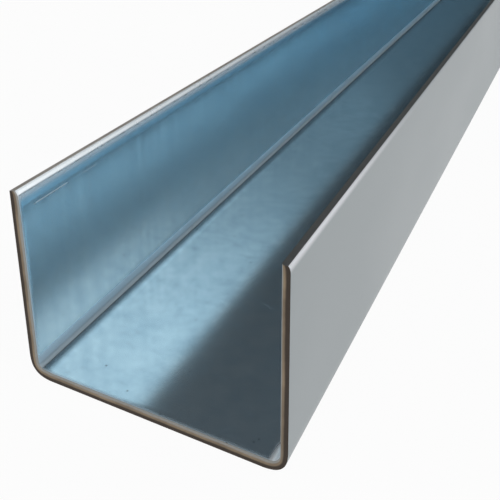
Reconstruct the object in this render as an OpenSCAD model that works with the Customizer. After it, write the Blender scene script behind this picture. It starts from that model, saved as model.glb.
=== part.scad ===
// Sandwich panel U-profile: one length of coated sheet steel, folded twice into a channel that caps a panel's edge.
// The bar lies on its web with the pocket open upwards. X runs across the pocket, Y along the bar and Z up.
// The origin is at the middle of the web's underside.

/* [Pocket] */
// Clear width between the flanges, which is the thickness of the panel that goes in
pocket_w = 40; // [20:1:200]
// Depth of the pocket, from the flange tips down to the web
pocket_depth = 30; // [15:1:100]

/* [Sheet] */
// Thickness of the sheet with its coat
sheet_t = 1.25; // [0.8:0.05:3]
// Inside radius of the two folds
fold_r = 2; // [0.5:0.1:6]
// Radius that slitting rolls onto the pocket side of the left flange's tip
left_tip_roll = 0.7; // [0.1:0.05:0.75]
// Radius that slitting rolls onto the coated side of the right flange's tip
right_tip_roll = 0.4; // [0.1:0.05:0.75]
// Radius that shearing to length rolls onto the pocket side of both ends
end_roll = 0.3; // [0.1:0.05:0.4]

/* [Stock] */
// Length of the bar as it is sold
stock_length = 1000; // [250:50:6000]

/* [Hidden] */
$fn = 96;
outer_w = pocket_w + 2 * sheet_t;
outer_h = pocket_depth + sheet_t;
outer_r = fold_r + sheet_t;

// A trough outline that stands on the X axis, with straight sides and bottom corners of radius r.
module trough(width, height, r) {
    translate([-width / 2, r]) square([width, height - r]);
    translate([-width / 2 + r, 0]) square([width - 2 * r, height]);
    for (side = [-1, 1]) translate([side * (width / 2 - r), r]) circle(r);
}

// What a roll-over of radius r takes off an arris at the origin, where the sheet fills the quarter x > 0, y < 0.
module arris_cut(r) {
    difference() {
        translate([-r, -r]) square(2 * r);
        translate([r, -r]) circle(r);
    }
}

// The folded section: two troughs one sheet apart, with each flange tip rolled over on the side that faced the blade.
module section() {
    difference() {
        trough(outer_w, outer_h, outer_r);
        translate([0, sheet_t]) trough(pocket_w, outer_h, fold_r);
        translate([-pocket_w / 2, outer_h]) mirror([1, 0]) arris_cut(left_tip_roll);
        translate([outer_w / 2, outer_h]) mirror([1, 0]) arris_cut(right_tip_roll);
    }
}

// The roll-over along the pocket side of a sheared end: the end face is at z = 0 and the bar is below it.
module end_arris() {
    for (side = [0, 1]) mirror([side, 0, 0]) {
        translate([pocket_w / 2, outer_h + end_roll, 0])
            rotate([90, 0, 0]) linear_extrude(pocket_depth + end_roll - fold_r) arris_cut(end_roll);
        translate([pocket_w / 2 - fold_r, sheet_t + fold_r, 0])
            rotate(-90) rotate_extrude(angle = 90) translate([fold_r, 0]) arris_cut(end_roll);
    }
    translate([0, sheet_t, 0])
        rotate(-90) rotate([90, 0, 0]) linear_extrude(pocket_w - 2 * fold_r, center = true) arris_cut(end_roll);
}

module u_profile() {
    color("lightsteelblue") rotate([90, 0, 0]) difference() {
        linear_extrude(stock_length, center = true) section();
        for (end = [0, 1]) mirror([0, 0, end]) translate([0, 0, stock_length / 2]) end_arris();
    }
}

u_profile();
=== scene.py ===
"""Looks for the sandwich panel U-profile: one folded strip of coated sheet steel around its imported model."""

import logging
import math
from collections.abc import Callable
from dataclasses import dataclass
from enum import IntEnum
from typing import ClassVar

import bpy
import numpy as np
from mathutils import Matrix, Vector


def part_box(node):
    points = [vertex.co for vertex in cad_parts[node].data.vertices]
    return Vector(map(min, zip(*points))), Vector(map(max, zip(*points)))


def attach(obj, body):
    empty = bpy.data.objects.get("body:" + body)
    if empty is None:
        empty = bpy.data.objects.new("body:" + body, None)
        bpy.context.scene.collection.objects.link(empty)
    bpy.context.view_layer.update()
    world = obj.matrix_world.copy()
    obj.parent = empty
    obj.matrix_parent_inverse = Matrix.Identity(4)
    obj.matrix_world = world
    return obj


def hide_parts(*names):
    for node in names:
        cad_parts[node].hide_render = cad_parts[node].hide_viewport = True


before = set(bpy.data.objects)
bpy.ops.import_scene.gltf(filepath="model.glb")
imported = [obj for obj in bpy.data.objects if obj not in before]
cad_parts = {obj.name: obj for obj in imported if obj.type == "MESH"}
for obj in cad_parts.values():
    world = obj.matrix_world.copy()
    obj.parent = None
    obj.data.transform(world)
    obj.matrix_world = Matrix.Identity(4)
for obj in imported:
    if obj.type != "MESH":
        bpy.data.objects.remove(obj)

LOG = logging.getLogger("u_profile")
MM = 0.001
NODE = "u_profile"

Colour = tuple[float, float, float, float]
Span = tuple[float, float]
Triple = tuple[float, float, float]
Socket = bpy.types.NodeSocket
SheetTest = Callable[[np.ndarray, np.ndarray], np.ndarray]

RISING: Span = (0.0, 1.0)
FALLING: Span = (1.0, 0.0)


class Skin(IntEnum):
    """The finishes of the sheet, in the order of its material slots."""

    ZINC = 0
    COAT = 1
    END = 2
    LEFT_TIP = 3
    RIGHT_TIP = 4


def tone(red: int, green: int, blue: int) -> Colour:
    """Turns a colour as a screen shows it into the linear values that a shader reads.

    Args:
        red: red from 0 to 255.
        green: green from 0 to 255.
        blue: blue from 0 to 255.

    Returns:
        Linear red, green and blue with an alpha of 1.
    """
    shares = [value / 255 for value in (red, green, blue)]
    linear = [s / 12.92 if s <= 0.04045 else ((s + 0.055) / 1.055) ** 2.4 for s in shares]
    return (*linear, 1.0)


@dataclass(frozen=True)
class Cloud:
    """A cloud pattern: clouds in a metre along X, Y and Z, octaves of finer cloud, and their strength."""

    stretch: Triple
    detail: float
    rough: float = 0.5


class ShaderBoard:
    """A material's node tree with short ways to add nodes and to join them."""

    def __init__(self, name: str) -> None:
        """Starts an empty material.

        Args:
            name: the material's name.
        """
        self.material = bpy.data.materials.new(name)
        self.material.use_nodes = True
        self.tree = self.material.node_tree
        self.tree.nodes.clear()
        self.output = self.add("ShaderNodeOutputMaterial")

    def add(self, kind: str, **settings: object) -> bpy.types.Node:
        """Adds a node.

        Args:
            kind: the node's type name.
            settings: node properties to set.

        Returns:
            The new node.
        """
        node = self.tree.nodes.new(kind)
        for key, value in settings.items():
            setattr(node, key, value)
        return node

    def join(self, source: Socket, target: Socket) -> None:
        """Links an output socket to an input socket."""
        self.tree.links.new(source, target)

    def surface(self, metallic: float) -> bpy.types.Node:
        """Adds the main shader and joins it to the output.

        Args:
            metallic: the shader's metallic value.

        Returns:
            The shader node.
        """
        shader = self.add("ShaderNodeBsdfPrincipled")
        shader.inputs["Metallic"].default_value = metallic
        self.join(shader.outputs["BSDF"], self.output.inputs["Surface"])
        return shader

    def place(self, stretch: Triple) -> Socket:
        """Gives Object coordinates with a scale of their own along each axis.

        Args:
            stretch: how many pattern units a metre holds along X, Y and Z.

        Returns:
            The mapped coordinates.
        """
        coords = self.add("ShaderNodeTexCoord")
        mapping = self.add("ShaderNodeMapping")
        mapping.inputs["Scale"].default_value = stretch
        self.join(coords.outputs["Object"], mapping.inputs["Vector"])
        return mapping.outputs["Vector"]

    def axis(self, name: str) -> Socket:
        """Gives one of the Object coordinates.

        Args:
            name: X, Y or Z.

        Returns:
            The coordinate, in metres on a finished piece.
        """
        coords = self.add("ShaderNodeTexCoord")
        node = self.add("ShaderNodeSeparateXYZ")
        self.join(coords.outputs["Object"], node.inputs["Vector"])
        return node.outputs[name]

    def on_left(self) -> Socket:
        """Gives 1 on the left half of the piece and 0 on the right one."""
        return self.maths("LESS_THAN", self.axis("X"), 0.0)

    def noise(self, cloud: Cloud) -> Socket:
        """Adds a cloud pattern.

        Args:
            cloud: the pattern's measures.

        Returns:
            The pattern's value, about 0.5 on average.
        """
        node = self.add("ShaderNodeTexNoise")
        node.inputs["Scale"].default_value = 1.0
        node.inputs["Detail"].default_value = cloud.detail
        node.inputs["Roughness"].default_value = cloud.rough
        self.join(self.place(cloud.stretch), node.inputs["Vector"])
        return node.outputs["Fac"]

    def remap(self, value: Socket, start: Span, end: Span) -> Socket:
        """Moves a value from one span to another, with soft ends, and clamps it there.

        Args:
            value: the value to move.
            start: the span that it comes from.
            end: the span that it goes to.

        Returns:
            The moved value.
        """
        node = self.add("ShaderNodeMapRange", interpolation_type="SMOOTHSTEP")
        node.inputs["From Min"].default_value, node.inputs["From Max"].default_value = start
        node.inputs["To Min"].default_value, node.inputs["To Max"].default_value = end
        self.join(value, node.inputs["Value"])
        return node.outputs["Result"]

    def maths(self, operation: str, first: Socket, second: Socket | float) -> Socket:
        """Adds a maths node.

        Args:
            operation: the node's operation.
            first: the first value.
            second: the second value, a socket or a number.

        Returns:
            The result.
        """
        node = self.add("ShaderNodeMath", operation=operation)
        self.join(first, node.inputs[0])
        if isinstance(second, (int, float)):
            node.inputs[1].default_value = second
        else:
            self.join(second, node.inputs[1])
        return node.outputs["Value"]

    def chain(self, operation: str, first: Socket, *others: Socket | float) -> Socket:
        """Applies one operation to several values in turn.

        Args:
            operation: the maths node's operation.
            first: the first value.
            others: the other values, sockets or numbers.

        Returns:
            The result.
        """
        result = first
        for other in others:
            result = self.maths(operation, result, other)
        return result

    def product(self, first: Socket, *others: Socket | float) -> Socket:
        """Multiplies values."""
        return self.chain("MULTIPLY", first, *others)

    def total(self, first: Socket, *others: Socket | float) -> Socket:
        """Adds values up."""
        return self.chain("ADD", first, *others)

    def highest(self, first: Socket, *others: Socket | float) -> Socket:
        """Gives the highest of some values."""
        return self.chain("MAXIMUM", first, *others)

    def distance(self, value: Socket, middle: float) -> Socket:
        """Gives how far a value lies from a number."""
        return self.maths("ABSOLUTE", self.maths("SUBTRACT", value, middle), 0.0)

    def blend(self, share: Socket, first: Socket | Colour, second: Socket | Colour) -> Socket:
        """Mixes two colours.

        Args:
            share: 0 gives the first colour and 1 the second.
            first: a colour, or the socket that gives one.
            second: a colour, or the socket that gives one.

        Returns:
            The mixed colour.
        """
        node = self.add("ShaderNodeMix", data_type="RGBA")
        self.join(share, node.inputs[0])
        for socket, colour in ((node.inputs[6], first), (node.inputs[7], second)):
            if isinstance(colour, tuple):
                socket.default_value = colour
            else:
                self.join(colour, socket)
        return node.outputs[2]

    def bump(self, shader: bpy.types.Node, height: Socket, depth: float, strength: float) -> None:
        """Gives a shader a fine relief.

        Args:
            shader: the shader that gets it.
            height: the relief's height from 0 to 1.
            depth: the real height of that span, in metres.
            strength: how much of the relief shows.
        """
        node = self.add("ShaderNodeBump")
        node.inputs["Distance"].default_value = depth
        node.inputs["Strength"].default_value = strength
        self.join(height, node.inputs["Height"])
        self.join(node.outputs["Normal"], shader.inputs["Normal"])


@dataclass(frozen=True)
class ZincFinish:
    """Bare skin-passed zinc in the pocket: satin, blue-grey and mottled, with fine streaks up the flanges.

    Smears and some of the streaks are matt and pale, and so are the band that the folding blade rubbed along
    the left fold, a short scuff and the strips next to the sheared ends. A near-white painted highlight sits
    at the front corner of the right fold. The rolled left tip is painted near white as a highlight, with a
    matt haze below it. The foot of the left fold is painted darker as shade, and dirt lies in specks all over.
    """

    light: Colour = tone(217, 236, 244)
    dark: Colour = tone(194, 217, 229)
    grazing: Colour = tone(216, 239, 250)
    rubbed: Colour = tone(198, 214, 225)
    # painted highlight: the rolled left tip is coloured near white
    lip: Colour = tone(238, 245, 249)
    # painted highlight: near-white patch at the front corner of the right fold
    corner_highlight: Colour = tone(252, 252, 252)
    # painted shade in the foot of the left fold
    fold_shade: Colour = tone(140, 148, 153)
    speck: Colour = tone(96, 104, 108)
    metallic: Span = (0.95, 0.4)
    roughness: Span = (0.125, 0.165)
    dulling: float = 0.25

    mottle: Cloud = Cloud((260.0, 200.0, 260.0), 4.0, 0.65)
    mottle_weight: float = 0.3
    streak: Cloud = Cloud((300.0, 420.0, 6.0), 3.0, 0.6)
    streak_weight: float = 0.45
    smudge: Cloud = Cloud((110.0, 60.0, 110.0), 4.0, 0.65)
    smudge_weight: float = 0.25
    pattern_span: Span = (0.3, 0.7)
    smear_span: Span = (0.42, 0.7)
    smear_share: float = 0.16
    pale_streak_span: Span = (0.56, 0.72)
    pale_streak_share: float = 0.3
    ripple: Cloud = Cloud((90.0, 60.0, 90.0), 1.0)
    ripple_depth: float = 0.1 * MM
    ripple_strength: float = 0.05

    fold_foot: Span = (1.35 * MM, 1.7 * MM)
    fold_head: Span = (2.9 * MM, 3.9 * MM)
    end_span: Span = (499.0 * MM, 499.8 * MM)
    end_share: float = 0.7
    lip_span: Span = (28.7 * MM, 30.7 * MM)
    lip_dulling: float = 0.14
    haze_head: Span = (30.2 * MM, 30.75 * MM)
    haze_share: float = 0.78
    corner_highlight_inset: Span = (17.9 * MM, 18.9 * MM)
    corner_highlight_reach: Span = (-499.4 * MM, -493.0 * MM)

    fold_shade_foot: Span = (1.4 * MM, 1.5 * MM)
    fold_shade_head: Span = (1.8 * MM, 2.3 * MM)
    fold_shade_share: float = 0.45
    speck_cells: Triple = (420.0, 420.0, 420.0)
    speck_edge: Span = (0.04, 0.11)
    speck_share: float = 0.55
    speck_patches: Cloud = Cloud((150.0, 150.0, 150.0), 0.0)
    speck_patch_span: Span = (0.45, 0.6)

    scuff_height: float = 28.0 * MM
    scuff_edge: Span = (0.048 * MM, 0.16 * MM)
    scuff_middle: float = -493.2 * MM
    scuff_reach: Span = (2.64 * MM, 4.4 * MM)
    tail_start: float = -489.0 * MM
    tail_end: float = -476.0 * MM
    tail_breaks: Cloud = Cloud((0.0, 220.0, 0.0), 1.0)
    tail_break_span: Span = (0.45, 0.6)
    tail_share: float = 0.5

    def make(self) -> bpy.types.Material:
        """Builds the material.

        Returns:
            The finished material.
        """
        board = ShaderBoard("bare_zinc")
        shader = board.surface(self.metallic[0])
        shader.inputs["Specular Tint"].default_value = self.grazing
        streak = board.noise(self.streak)
        smudge = board.noise(self.smudge)
        pattern = board.total(
            board.product(board.noise(self.mottle), self.mottle_weight),
            board.product(streak, self.streak_weight),
            board.product(smudge, self.smudge_weight),
        )
        corner_highlight = self.corner_highlight_mask(board)
        dull = board.highest(self.fold_mask(board), self.scuff_mask(board), self.end_mask(board), corner_highlight)
        lip = self.lip_highlight_mask(board)
        haze = board.product(lip, board.remap(board.axis("Z"), self.haze_head, (self.haze_share, 0.0)))
        smear = board.remap(smudge, self.smear_span, (0.0, self.smear_share))
        pale_streak = board.remap(streak, self.pale_streak_span, (0.0, self.pale_streak_share))
        matt = board.highest(dull, haze, smear, pale_streak)
        colour = board.blend(board.remap(pattern, self.pattern_span, RISING), self.light, self.dark)
        colour = board.blend(dull, colour, self.rubbed)
        # painted highlight on the rolled left tip
        colour = board.blend(lip, colour, self.lip)
        # painted highlight at the front corner of the right fold
        colour = board.blend(corner_highlight, colour, self.corner_highlight)
        # painted shade darkening the foot of the left fold
        colour = board.blend(self.fold_shade_mask(board), colour, self.fold_shade)
        colour = board.blend(self.speck_mask(board), colour, self.speck)
        rough = board.total(
            board.remap(pattern, self.pattern_span, self.roughness),
            board.product(dull, self.dulling),
            board.product(lip, self.lip_dulling),
        )
        board.join(colour, shader.inputs["Base Color"])
        board.join(board.remap(matt, RISING, self.metallic), shader.inputs["Metallic"])
        board.join(rough, shader.inputs["Roughness"])
        board.bump(shader, board.noise(self.ripple), self.ripple_depth, self.ripple_strength)
        return board.material

    def fold_mask(self, board: ShaderBoard) -> Socket:
        """Marks the band along the left fold that the folding blade rubbed.

        Args:
            board: the material's nodes.

        Returns:
            1 on the band and 0 away from it.
        """
        above = board.remap(board.axis("Z"), self.fold_foot, RISING)
        below = board.remap(board.axis("Z"), self.fold_head, FALLING)
        return board.product(above, below, board.on_left())

    def end_mask(self, board: ShaderBoard) -> Socket:
        """Marks a narrow strip next to both sheared ends, where the shear's clamp rubbed the zinc.

        Args:
            board: the material's nodes.

        Returns:
            Up to the strip's share at the ends and 0 away from them.
        """
        return board.remap(board.distance(board.axis("Y"), 0.0), self.end_span, (0.0, self.end_share))

    def corner_highlight_mask(self, board: ShaderBoard) -> Socket:
        """Marks the painted highlight, a near-white patch at the front corner of the right fold.

        Args:
            board: the material's nodes.

        Returns:
            1 in the fold at the front end, less farther along it, and 0 elsewhere.
        """
        in_fold = board.remap(board.axis("X"), self.corner_highlight_inset, RISING)
        near_front = board.remap(board.axis("Y"), self.corner_highlight_reach, FALLING)
        low = board.remap(board.axis("Z"), self.fold_head, FALLING)
        return board.product(in_fold, near_front, low)

    def lip_highlight_mask(self, board: ShaderBoard) -> Socket:
        """Marks the top of the left flange, where the slitter rolled it; its colour there is a painted
        highlight and its zinc is duller.

        Args:
            board: the material's nodes.

        Returns:
            1 on the rolled tip and 0 elsewhere.
        """
        return board.product(board.remap(board.axis("Z"), self.lip_span, RISING), board.on_left())

    def fold_shade_mask(self, board: ShaderBoard) -> Socket:
        """Marks the painted shade that darkens the foot of the left fold.

        Args:
            board: the material's nodes.

        Returns:
            The painted shade's share in the fold and 0 elsewhere.
        """
        above = board.remap(board.axis("Z"), self.fold_shade_foot, (0.0, self.fold_shade_share))
        below = board.remap(board.axis("Z"), self.fold_shade_head, FALLING)
        return board.product(above, below, board.on_left())

    def speck_mask(self, board: ShaderBoard) -> Socket:
        """Scatters a few tiny specks of dirt.

        Args:
            board: the material's nodes.

        Returns:
            The speck's share on a speck and 0 elsewhere.
        """
        cells = board.add("ShaderNodeTexVoronoi", feature="F1")
        cells.inputs["Scale"].default_value = 1.0
        board.join(board.place(self.speck_cells), cells.inputs["Vector"])
        dots = board.remap(cells.outputs["Distance"], self.speck_edge, (self.speck_share, 0.0))
        kept = board.remap(board.noise(self.speck_patches), self.speck_patch_span, RISING)
        return board.product(dots, kept)

    def scuff_mask(self, board: ShaderBoard) -> Socket:
        """Draws the short scuff below the left tip, close to the front end, and its faint broken tail.

        Args:
            board: the material's nodes.

        Returns:
            1 on the scuff, less on its tail and 0 elsewhere.
        """
        along = board.axis("Y")
        line = board.remap(board.distance(board.axis("Z"), self.scuff_height), self.scuff_edge, FALLING)
        short = board.remap(board.distance(along, self.scuff_middle), self.scuff_reach, FALLING)
        tail = board.product(
            board.maths("LESS_THAN", along, self.tail_end),
            board.maths("GREATER_THAN", along, self.tail_start),
            board.remap(board.noise(self.tail_breaks), self.tail_break_span, (0.0, self.tail_share)),
        )
        return board.product(line, board.highest(short, tail), board.on_left())


@dataclass(frozen=True)
class CoatFinish:
    """The light grey coat outside: satin, smooth, with the least of an orange peel."""

    light: Colour = tone(162, 170, 173)
    dark: Colour = tone(158, 166, 169)
    # painted highlight along the right tip's arris, brightest near the front end
    pale: Colour = tone(242, 245, 250)
    arris_highlight_span: Span = (30.2 * MM, 31.2 * MM)
    arris_highlight_reach: Span = (-495.0 * MM, -435.0 * MM)
    arris_highlight_shares: Span = (1.0, 0.15)
    roughness: Span = (0.36, 0.42)
    pattern: Cloud = Cloud((26.0, 12.0, 26.0), 3.0)
    pattern_span: Span = (0.3, 0.7)
    peel: Cloud = Cloud((900.0, 900.0, 900.0), 2.0)
    peel_depth: float = 0.01 * MM
    peel_strength: float = 0.2

    def make(self) -> bpy.types.Material:
        """Builds the material.

        Returns:
            The finished material.
        """
        board = ShaderBoard("light_grey_coat")
        shader = board.surface(0.0)
        pattern = board.noise(self.pattern)
        colour = board.blend(pattern, self.light, self.dark)
        # painted highlight on the right tip's arris
        board.join(board.blend(self.arris_highlight_mask(board), colour, self.pale), shader.inputs["Base Color"])
        board.join(board.remap(pattern, self.pattern_span, self.roughness), shader.inputs["Roughness"])
        board.bump(shader, board.noise(self.peel), self.peel_depth, self.peel_strength)
        return board.material

    def arris_highlight_mask(self, board: ShaderBoard) -> Socket:
        """Paints a highlight on the coat along the right tip's arris, strongest near the front and fading
        farther along.

        Args:
            board: the material's nodes.

        Returns:
            1 on the front of the arris, less behind it, and 0 below it and on the other flange.
        """
        near_tip = board.remap(board.axis("Z"), self.arris_highlight_span, RISING)
        near_front = board.remap(board.axis("Y"), self.arris_highlight_reach, self.arris_highlight_shares)
        return board.product(near_tip, near_front, board.maths("GREATER_THAN", board.axis("X"), 0.0))


@dataclass(frozen=True)
class CutFinish:
    """A cut edge: zinc smeared over its pocket side, a tan burnished band and a dark torn band at the coat.

    The bands are placed by shares of the sheet's thickness from the pocket to the coat, and wander a little.
    """

    name: str
    smeared: Colour = tone(168, 166, 160)
    burnished: Colour = tone(152, 132, 106)
    worn: Colour = tone(126, 109, 87)
    torn: Colour = tone(64, 51, 39)
    pit: Colour = tone(48, 38, 29)
    smear: float = 0.2
    smear_fade: float = 0.22
    border: float = 0.48
    border_fade: float = 0.26
    roughness: Span = (0.42, 0.72)
    wander: Cloud = Cloud((160.0, 160.0, 160.0), 3.0, 0.6)
    wander_share: float = 0.24
    wear_span: Span = (0.35, 0.65)
    grain: Cloud = Cloud((900.0, 900.0, 900.0), 3.0, 0.6)
    grain_depth: float = 0.05 * MM
    grain_strength: float = 0.5
    through: ClassVar[str] = "through"

    def make(self) -> bpy.types.Material:
        """Builds the material.

        Returns:
            The finished material.
        """
        board = ShaderBoard(self.name)
        shader = board.surface(0.0)
        grain = board.noise(self.grain)
        wander = board.noise(self.wander)
        share = board.add("ShaderNodeAttribute", attribute_name=self.through)
        depth = board.total(share.outputs["Fac"], board.product(wander, self.wander_share))
        torn = board.remap(depth, (self.border, self.border + self.border_fade), RISING)
        bright = board.remap(depth, (self.smear, self.smear + self.smear_fade), FALLING)
        smooth = board.blend(board.remap(wander, self.wear_span, RISING), self.burnished, self.worn)
        smooth = board.blend(bright, smooth, self.smeared)
        rough = board.blend(grain, self.torn, self.pit)
        board.join(board.blend(torn, smooth, rough), shader.inputs["Base Color"])
        board.join(board.remap(torn, RISING, self.roughness), shader.inputs["Roughness"])
        board.bump(shader, grain, self.grain_depth, self.grain_strength)
        return board.material


END_CUT = CutFinish("sheared_end")
LEFT_TIP_CUT = CutFinish(
    "slit_left_tip", burnished=tone(158, 152, 143), worn=tone(140, 134, 126), border=1.3
)
RIGHT_TIP_CUT = CutFinish(
    "slit_right_tip", torn=tone(86, 88, 88), pit=tone(66, 68, 68), smear=-1.0, border=-0.5
)


@dataclass(frozen=True)
class Bend:
    """One arc of a fold."""

    degrees: float
    radius: float
    steps: int

    @property
    def angle(self) -> float:
        """The arc's angle in radians."""
        return math.radians(self.degrees)


@dataclass(frozen=True)
class Turn:
    """A fold or a lip: the arcs that turn a skin away from its flange, in order from the flange."""

    bends: tuple[Bend, ...] = ()

    def parts(self) -> list[tuple[Bend, float, float]]:
        """Gives each arc with the angle turned before it and after it.

        Returns:
            One entry for each arc, from the flange on.
        """
        sums = [sum(bend.angle for bend in self.bends[:index]) for index in range(len(self.bends) + 1)]
        return list(zip(self.bends, sums, sums[1:]))

    @property
    def rise(self) -> float:
        """How far the arcs reach along the flange."""
        return sum(
            bend.radius * (math.sin(after) - math.sin(before)) for bend, before, after in self.parts()
        )

    @property
    def inset(self) -> float:
        """How far the arcs reach away from the flange."""
        return sum(
            bend.radius * (math.cos(before) - math.cos(after)) for bend, before, after in self.parts()
        )


@dataclass(frozen=True)
class SkinPath:
    """The line that one face of the sheet follows across the bar.

    It is told by half its width, the heights of the web and of the tips, its two folds and its two lips.
    A lip without arcs is a sharp arris.
    """

    half: float
    web: float
    tip: float
    left_fold: Turn
    right_fold: Turn
    left_lip: Turn = Turn()
    right_lip: Turn = Turn()


@dataclass
class FoldedSheet:
    """The one piece of the object: a strip of sheet folded twice, with slit tips and sheared ends.

    Each skin is drawn on as a folder would make it: down the left flange, round the fold, across the web,
    round the other fold and up the right flange. The cut edges then join the two skins all round. The folds
    are tight in the pocket, the left one with the folding blade's mark above it and a slow run-out below, and
    outside they are rounder. The slitter rolled the left tip over on the pocket side and the right tip on the
    coated side.
    """

    low: Vector
    high: Vector
    thickness: float = 1.25 * MM
    inner_left: Turn = Turn((
        Bend(degrees=5.0, radius=20.0 * MM, steps=5),
        Bend(degrees=74.0, radius=1.0 * MM, steps=14),
        Bend(degrees=11.0, radius=10.0 * MM, steps=8),
    ))
    inner_right: Turn = Turn((
        Bend(degrees=6.0, radius=5.0 * MM, steps=5),
        Bend(degrees=78.0, radius=1.5 * MM, steps=14),
        Bend(degrees=6.0, radius=5.0 * MM, steps=8),
    ))
    outer: Turn = Turn((
        Bend(degrees=12.0, radius=8.0 * MM, steps=5),
        Bend(degrees=62.0, radius=2.7 * MM, steps=14),
        Bend(degrees=16.0, radius=6.0 * MM, steps=8),
    ))
    left_lip: Turn = Turn((
        Bend(degrees=2.2, radius=6.0 * MM, steps=3),
        Bend(degrees=1.8, radius=50.0 * MM, steps=3),
        Bend(degrees=16.0, radius=1.1 * MM, steps=4),
        Bend(degrees=24.0, radius=1.7 * MM, steps=4),
    ))
    right_lip: Turn = Turn((
        Bend(degrees=30.0, radius=1.6 * MM, steps=9),
        Bend(degrees=60.0, radius=0.15 * MM, steps=5),
    ))
    lip_steps: int = 14
    end_roll: float = 0.45 * MM
    support: float = 1.2 * MM
    slack: float = 0.01 * MM
    ring_slack: float = 0.001 * MM
    bays: int = 160
    flange_steps: int = 5
    web_steps: int = 6
    arris_steps: int = 5
    smooth_angle: float = math.radians(32)
    pocket_share: float = 0.0
    coat_share: float = 1.0
    middle_share: float = 0.5
    share_slack: float = 0.01
    end_lean: float = 0.3

    @property
    def length(self) -> float:
        """The bar's length."""
        return self.high.y - self.low.y

    @property
    def half_pocket(self) -> float:
        """Half the clear width between the flanges."""
        return (self.high.x - self.low.x) / 2 - self.thickness

    def build(self) -> bpy.types.Object:
        """Models the sheet.

        Returns:
            The finished mesh object, with its finishes.
        """
        half = self.half_pocket
        tip = self.high.z
        zinc = SkinPath(half, self.thickness, tip, self.inner_left, self.inner_right, left_lip=self.left_lip)
        coat = SkinPath(half + self.thickness, 0.0, tip, self.outer, self.outer, right_lip=self.right_lip)
        outside = self.lay_skin(coat, self.coat_share)
        strip = self.lay_skin(zinc, self.pocket_share)
        strip.name = "u_profile_sheet"
        strip.data.name = "u_profile_sheet"
        self.join_skins(strip, outside)
        self.roll_ends(strip)
        self.mark_skins(strip)
        bpy.ops.object.shade_smooth_by_angle(angle=self.smooth_angle)
        return strip

    def lay_skin(self, path: SkinPath, share: float) -> bpy.types.Object:
        """Lays one face of the sheet, from its left tip to its right one.

        Args:
            path: the line that the skin follows.
            share: how far through the sheet it lies, 0 in the pocket and 1 outside.

        Returns:
            The skin, in object mode.
        """
        left_top = path.tip - (path.left_lip.rise or self.support)
        right_top = path.tip - (path.right_lip.rise or self.support)
        first_middle = left_top - self.support / 2
        bpy.ops.mesh.primitive_grid_add(x_subdivisions=1, y_subdivisions=self.bays, size=1.0)
        skin = bpy.context.object
        place = skin.data.attributes.new(CutFinish.through, "FLOAT", "POINT")
        place.data.foreach_set("value", np.full(len(skin.data.vertices), share))
        bpy.ops.object.mode_set(mode="EDIT")
        bpy.ops.transform.resize(value=(self.support, self.length, 1.0))
        bpy.ops.transform.rotate(value=math.pi / 2, orient_axis="Y", center_override=(0.0, 0.0, 0.0))
        bpy.ops.transform.translate(value=(-path.half, 0.0, first_middle))
        self.select_edges(skin, lambda co, through: co[:, 2] < first_middle)
        left_fold = Vector((-path.half, 0.0, path.web + path.left_fold.rise))
        right_fold = Vector((path.half - path.right_fold.inset, 0.0, path.web))
        self.run((0.0, 0.0, -1.0), left_top - self.support - left_fold.z, self.flange_steps)
        self.turn(left_fold, 0.0, path.left_fold.bends)
        self.run((1.0, 0.0, 0.0), right_fold.x + path.half - path.left_fold.inset, self.web_steps)
        self.turn(right_fold, math.pi / 2, path.right_fold.bends[::-1])
        self.run((0.0, 0.0, 1.0), right_top - path.web - path.right_fold.rise, self.flange_steps + 1)
        self.end_tip(Vector((path.half, 0.0, right_top)), path.right_lip)
        self.select_edges(
            skin, lambda co, through: np.hypot(co[:, 0] + path.half, co[:, 2] - left_top) < self.slack
        )
        self.end_tip(Vector((-path.half, 0.0, left_top)), path.left_lip)
        bpy.ops.object.mode_set(mode="OBJECT")
        return skin

    def end_tip(self, start: Vector, lip: Turn) -> None:
        """Takes the skin's free edge from the top of a flange up to its tip.

        Args:
            start: where the lip starts.
            lip: the lip, which turns to the left on both flanges.
        """
        if lip.bends:
            self.turn(start, math.pi, lip.bends)
        else:
            self.run((0.0, 0.0, 1.0), self.support, self.lip_steps)

    def run(self, way: Triple, reach: float, steps: int) -> None:
        """Extrudes the skin's free edge along a straight.

        Args:
            way: unit direction.
            reach: length of the straight.
            steps: equal steps along it.
        """
        move = tuple(reach / steps * part for part in way)
        for _ in range(steps):
            bpy.ops.mesh.extrude_region_move(TRANSFORM_OT_translate={"value": move})

    def turn(self, start: Vector, facing: float, bends: tuple[Bend, ...]) -> None:
        """Spins the skin's free edge round a fold, arc by arc.

        Args:
            start: where the fold starts.
            facing: the angle from +X to the direction in which the arcs' centres lie there, in radians.
            bends: the fold's arcs, in the order in which the skin meets them.
        """
        point = start.copy()
        for bend in bends:
            centre = point + bend.radius * Vector((math.cos(facing), 0.0, math.sin(facing)))
            bpy.ops.mesh.spin(steps=bend.steps, angle=bend.angle, center=centre, axis=(0.0, 1.0, 0.0))
            facing += bend.angle
            point = centre - bend.radius * Vector((math.cos(facing), 0.0, math.sin(facing)))

    def join_skins(self, strip: bpy.types.Object, outside: bpy.types.Object) -> None:
        """Joins the two skins by the cut edges all round.

        Args:
            strip: the skin in the pocket, which becomes the whole sheet and is left in edit mode.
            outside: the coated skin.
        """
        outside.select_set(True)
        strip.select_set(True)
        bpy.context.view_layer.objects.active = strip
        bpy.ops.object.join()
        bpy.ops.object.mode_set(mode="EDIT")
        bpy.ops.mesh.select_mode(type="EDGE")
        bpy.ops.mesh.select_all(action="DESELECT")
        bpy.ops.mesh.select_non_manifold(
            use_wire=False, use_multi_face=False, use_non_contiguous=False, use_verts=False
        )
        bpy.ops.mesh.bridge_edge_loops()
        bpy.ops.mesh.select_all(action="SELECT")
        bpy.ops.mesh.normals_make_consistent(inside=False)

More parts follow.
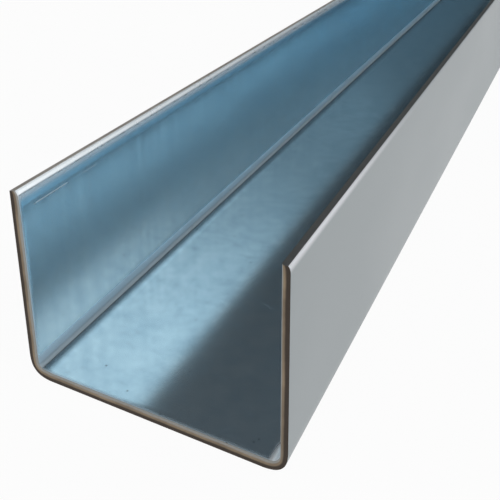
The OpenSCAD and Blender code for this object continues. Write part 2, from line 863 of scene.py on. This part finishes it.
    def roll_ends(self, strip: bpy.types.Object) -> None:
        """Rounds the pocket side of both ends, where the shear rolled them over.

        Args:
            strip: the sheet, in edit mode; it is left in object mode.
        """
        for end in (-1, 1):
            bpy.ops.mesh.select_all(action="SELECT")
            ring = (0.0, end * (self.length / 2 - self.support), 0.0)
            bpy.ops.mesh.bisect(plane_co=ring, plane_no=(0.0, 1.0, 0.0), threshold=self.ring_slack)
        near = self.length / 2 - self.slack
        self.select_edges(
            strip, lambda co, through: (np.abs(co[:, 1]) > near) & (through < self.share_slack)
        )
        bpy.ops.mesh.bevel(offset=self.end_roll, segments=self.arris_steps, affect="EDGES")
        bpy.ops.object.mode_set(mode="OBJECT")

    def points(self, strip: bpy.types.Object) -> np.ndarray:
        """Gives all vertex coordinates, one row each."""
        co = np.empty(3 * len(strip.data.vertices))
        strip.data.vertices.foreach_get("co", co)
        return co.reshape(-1, 3)

    def shares(self, strip: bpy.types.Object) -> np.ndarray:
        """Gives how far through the sheet each vertex lies, from 0 in the pocket to 1 on the coated side."""
        through = np.empty(len(strip.data.vertices))
        strip.data.attributes[CutFinish.through].data.foreach_get("value", through)
        return through

    def select_edges(self, strip: bpy.types.Object, test: SheetTest) -> None:
        """Selects the edges whose ends both pass a test of their place.

        Args:
            strip: the object, in edit mode.
            test: takes all vertex coordinates and shares through the sheet, and tells which vertices pass.
        """
        bpy.ops.mesh.select_all(action="DESELECT")
        bpy.ops.mesh.select_mode(type="EDGE")
        bpy.ops.object.mode_set(mode="OBJECT")
        edges = strip.data.edges
        passed = test(self.points(strip), self.shares(strip))
        ends = np.empty(2 * len(edges), dtype=int)
        edges.foreach_get("vertices", ends)
        edges.foreach_set("select", passed[ends].reshape(-1, 2).all(axis=1))
        bpy.ops.object.mode_set(mode="EDIT")

    def mark_skins(self, strip: bpy.types.Object) -> None:
        """Gives each face its finish.

        Args:
            strip: the sheet, in object mode.
        """
        mesh = strip.data
        through = self.shares(strip)
        skins = []
        for face in mesh.polygons:
            shares = through[face.vertices]
            skin = Skin.COAT if shares.mean() > self.middle_share else Skin.ZINC
            if abs(face.normal.y) > self.end_lean:
                skin = Skin.END
            elif np.ptp(shares) > self.middle_share:
                skin = Skin.LEFT_TIP if face.center.x < 0 else Skin.RIGHT_TIP
            skins.append(skin)
        for finish in (ZincFinish(), CoatFinish(), END_CUT, LEFT_TIP_CUT, RIGHT_TIP_CUT):
            mesh.materials.append(finish.make())
        mesh.polygons.foreach_set("material_index", skins)

    def dress(self, strip: bpy.types.Object) -> None:
        """Ties the sheet to the frame.

        Args:
            strip: the finished sheet.
        """
        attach(strip, "root")
        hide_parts(NODE)


@dataclass(frozen=True)
class SoftLamp:
    """A long soft lamp that runs beside the bar and faces it.

    The place is in metres from the middle of the front end, and the size is along the bar and across it.
    """

    name: str
    place: Triple
    size: Span
    power: float

    def hang(self, front: float) -> None:
        """Hangs the lamp.

        Args:
            front: Y of the bar's front end.
        """
        bpy.ops.object.light_add(type="AREA")
        lamp = bpy.context.object
        lamp.name = self.name
        lamp.data.shape = "RECTANGLE"
        lamp.data.size, lamp.data.size_y = self.size
        lamp.data.energy = self.power
        lamp.location = Vector(self.place) + Vector((0.0, front, 0.0))
        away = Vector((self.place[0], 0.0, self.place[2]))
        lamp.rotation_euler = away.to_track_quat("Z", "Y").to_euler()


@dataclass(frozen=True)
class DarkCard:
    """A dark card, as a studio hangs one to give bare metal its dark side; the camera itself doesn't see it.

    The place is in metres from the middle of the front end, the lean is in degrees from lying flat and the
    turn is in degrees from facing the front. Over the fade, the card's shade becomes its far shade. The fade
    is counted from the card's middle towards its upper or far edge, in shares of its size, and by default it
    lies past that edge.
    """

    name: str
    place: Triple
    size: Span
    shade: Colour
    lean: float = 0.0
    turn: float = 0.0
    far_shade: Colour = tone(250, 250, 250)
    fade: Span = (0.6, 0.7)

    def hang(self, front: float) -> None:
        """Hangs the card.

        Args:
            front: Y of the bar's front end.
        """
        bpy.ops.mesh.primitive_plane_add(size=1.0)
        card = bpy.context.object
        card.name = self.name
        card.scale = (*self.size, 1.0)
        card.rotation_euler = (math.radians(self.lean), 0.0, math.radians(self.turn))
        card.location = Vector(self.place) + Vector((0.0, front, 0.0))
        card.visible_camera = False
        board = ShaderBoard(self.name)
        diffuse = board.add("ShaderNodeBsdfDiffuse")
        far = board.remap(board.axis("Y"), self.fade, RISING)
        board.join(board.blend(far, self.shade, self.far_shade), diffuse.inputs["Color"])
        board.join(diffuse.outputs["BSDF"], board.output.inputs["Surface"])
        card.data.materials.append(board.material)


@dataclass
class Studio:
    """The pale floor, the soft light and the camera.

    The eye is in metres from the middle of the front end, and the tilt is the camera's turn about X, Y and Z
    in degrees. The drop is the camera's shift, in shares of the picture.
    """

    front: float
    floor_size: float = 60.0
    floor_tone: Colour = tone(246, 246, 246)
    floor_glow: float = 0.95
    world_tone: Colour = tone(255, 255, 255)
    world_strength: float = 0.72
    lens: float = 52.365
    sensor: float = 36.0
    drop: float = 0.35
    nearest: float = 5.0 * MM
    farthest: float = 200.0
    eye: Triple = (49.05 * MM, -66.04 * MM, 78.92 * MM)
    tilt: Triple = (71.134, 0.335, 26.344)
    lamps: tuple[SoftLamp, ...] = (
        SoftLamp("soft_panel", place=(1.14, 0.8, 1.58), size=(4.0, 0.39), power=1.7),
        SoftLamp("long_panel", place=(1.14, 1.55, 1.58), size=(5.5, 0.39), power=1.2),
        SoftLamp("right_window", place=(1.6, 1.2, 0.42), size=(3.0, 0.7), power=3.5),
        SoftLamp("upper_window", place=(1.5, 1.9, 0.99), size=(4.6, 0.4), power=4.0),
        SoftLamp("left_window", place=(-1.52, 2.6, 1.05), size=(6.0, 0.2), power=4.0),
    )
    cards: tuple[DarkCard, ...] = (
        DarkCard(
            "card_above",
            place=(-0.61, 3.85, 1.5),
            size=(2.6, 8.3),
            shade=tone(106, 111, 116),
            far_shade=tone(86, 90, 94),
            fade=(-0.28, -0.14),
        ),
        DarkCard(
            "card_ahead",
            place=(2.6, 5.5, 2.37),
            size=(5.75, 4.74),
            shade=tone(134, 137, 140),
            lean=90.0,
            fade=(0.18, 0.5),
        ),
        DarkCard(
            "card_left",
            place=(-2.2, 5.2, 0.75),
            size=(3.8, 1.5),
            shade=tone(96, 100, 104),
            lean=90.0,
            turn=90.0,
        ),
    )

    def build(self) -> None:
        """Sets up the whole studio."""
        bpy.context.scene.view_settings.view_transform = "Standard"
        self.lay_floor()
        self.light_world()
        for lamp in self.lamps:
            lamp.hang(self.front)
        for card in self.cards:
            card.hang(self.front)
        self.set_camera()

    def lay_floor(self) -> None:
        """Lays a pale floor that reads as white and still takes the object's shadow."""
        bpy.ops.mesh.primitive_plane_add(size=self.floor_size)
        floor = bpy.context.object
        floor.name = "floor"
        board = ShaderBoard("pale_floor")
        diffuse = board.add("ShaderNodeBsdfDiffuse")
        diffuse.inputs["Color"].default_value = self.floor_tone
        glow = board.add("ShaderNodeEmission")
        rays = board.add("ShaderNodeLightPath").outputs
        seen = board.highest(rays["Is Camera Ray"], rays["Is Glossy Ray"], rays["Is Transmission Ray"])
        mix = board.add("ShaderNodeMixShader")
        board.join(board.product(seen, self.floor_glow), mix.inputs["Fac"])
        board.join(diffuse.outputs["BSDF"], mix.inputs[1])
        board.join(glow.outputs["Emission"], mix.inputs[2])
        board.join(mix.outputs["Shader"], board.output.inputs["Surface"])
        floor.data.materials.append(board.material)

    def light_world(self) -> None:
        """Fills the room with soft even light."""
        world = bpy.data.worlds.new("soft_room")
        bpy.context.scene.world = world
        world.use_nodes = True
        background = world.node_tree.nodes["Background"]
        background.inputs["Color"].default_value = self.world_tone
        background.inputs["Strength"].default_value = self.world_strength

    def set_camera(self) -> None:
        """Sets the camera where the photograph was taken from."""
        data = bpy.data.cameras.new("camera")
        data.sensor_width = self.sensor
        data.lens = self.lens
        data.shift_y = -self.drop
        data.clip_start = self.nearest
        data.clip_end = self.farthest
        camera = bpy.data.objects.new("camera", data)
        bpy.context.scene.collection.objects.link(camera)
        camera.location = Vector(self.eye) + Vector((0.0, self.front, 0.0))
        camera.rotation_euler = tuple(math.radians(angle) for angle in self.tilt)
        bpy.context.scene.camera = camera


def main() -> None:
    """Builds the sheet and the studio."""
    logging.basicConfig(level=logging.INFO)
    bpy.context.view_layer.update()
    bpy.ops.object.select_all(action="DESELECT")
    sheet = FoldedSheet(*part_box(NODE))
    strip = sheet.build()
    sheet.dress(strip)
    LOG.info("%s: %d faces", strip.name, len(strip.data.polygons))
    Studio(front=sheet.low.y).build()


if __name__ == "__main__":
    main()
